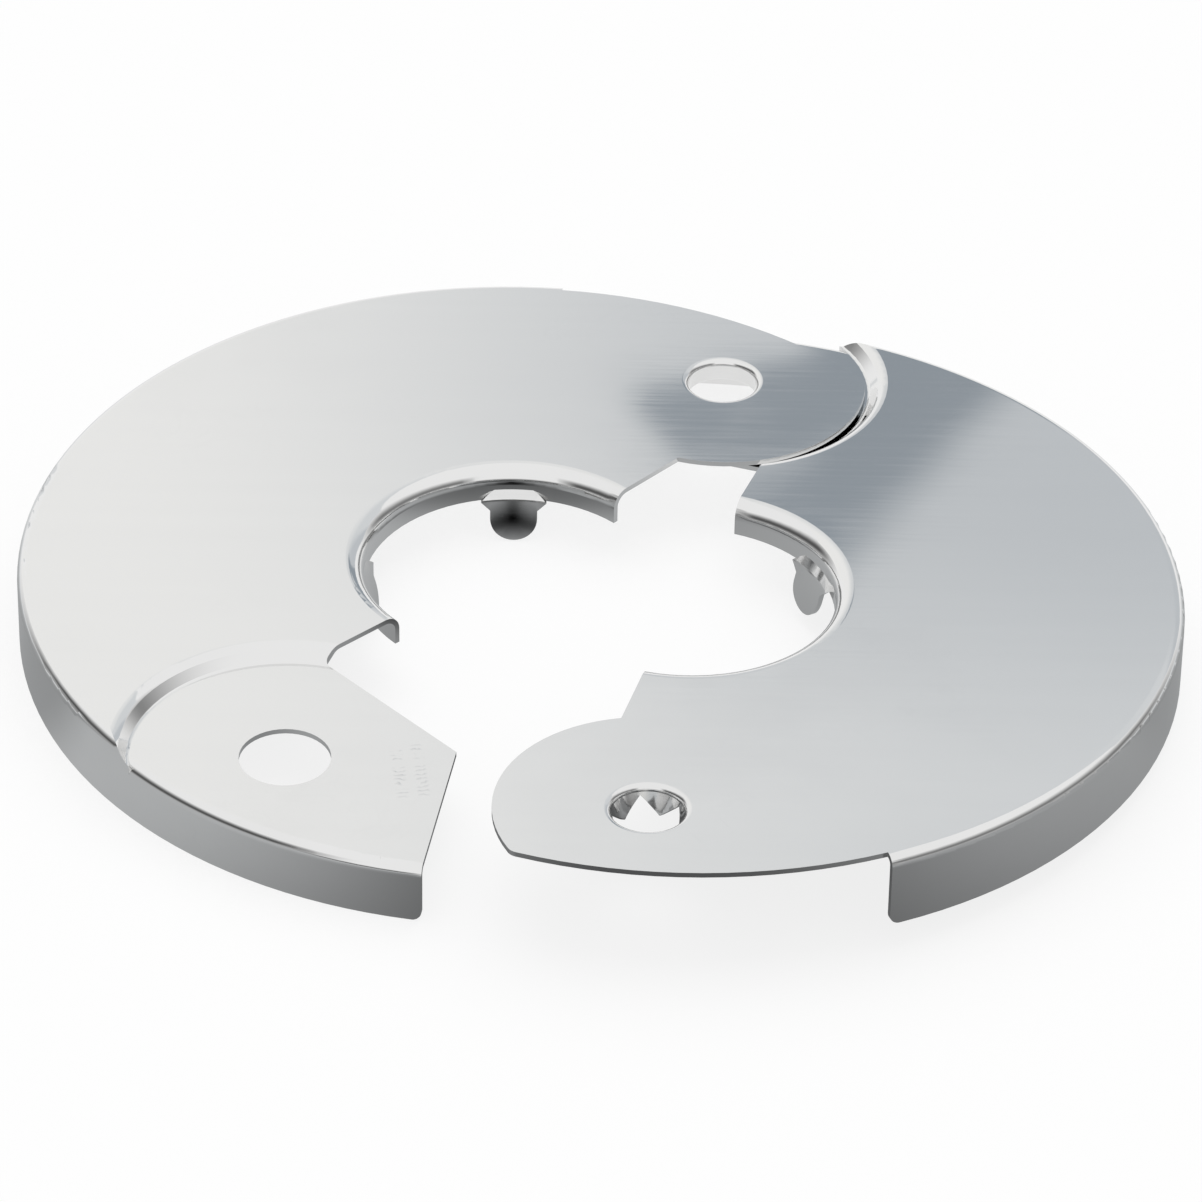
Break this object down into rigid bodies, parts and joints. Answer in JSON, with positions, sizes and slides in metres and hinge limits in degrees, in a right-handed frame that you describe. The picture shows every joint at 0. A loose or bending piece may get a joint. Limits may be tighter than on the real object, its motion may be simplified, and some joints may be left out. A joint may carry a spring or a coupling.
{
  "type": "split pipe escutcheon",
  "caption": "Round plated sheet-steel cover plate split into hinged halves that close around a pipe, with turned-down rim, bore collar, eyelet hinge, snap eyelet and inner spring tabs.",
  "frame": {"origin": "on the pipe axis of the hinge half, in the wall plane that its rim stands on", "axes": "+Z out of the wall along the pipe, +Y from the pipe axis to the hinge eyelet, +X towards the swinging half"},
  "size_m": [0.0876, 0.0774, 0.0081],
  "materials": {
    "plated_steel": "bright plated sheet steel with faint drawing lines"
  },
  "bodies": {
    "fixed_half": {"hinge_half": "plated_steel"},
    "swing_half": {"snap_half": "plated_steel"}
  },
  "joints": [
    {"name": "half_swing", "type": "hinge", "parent": "fixed_half", "child": "swing_half", "pos_m": [0, 0.0286, 0.0047], "axis": [0, 0, 1], "range_deg": [-28.2, 80]}
  ]
}
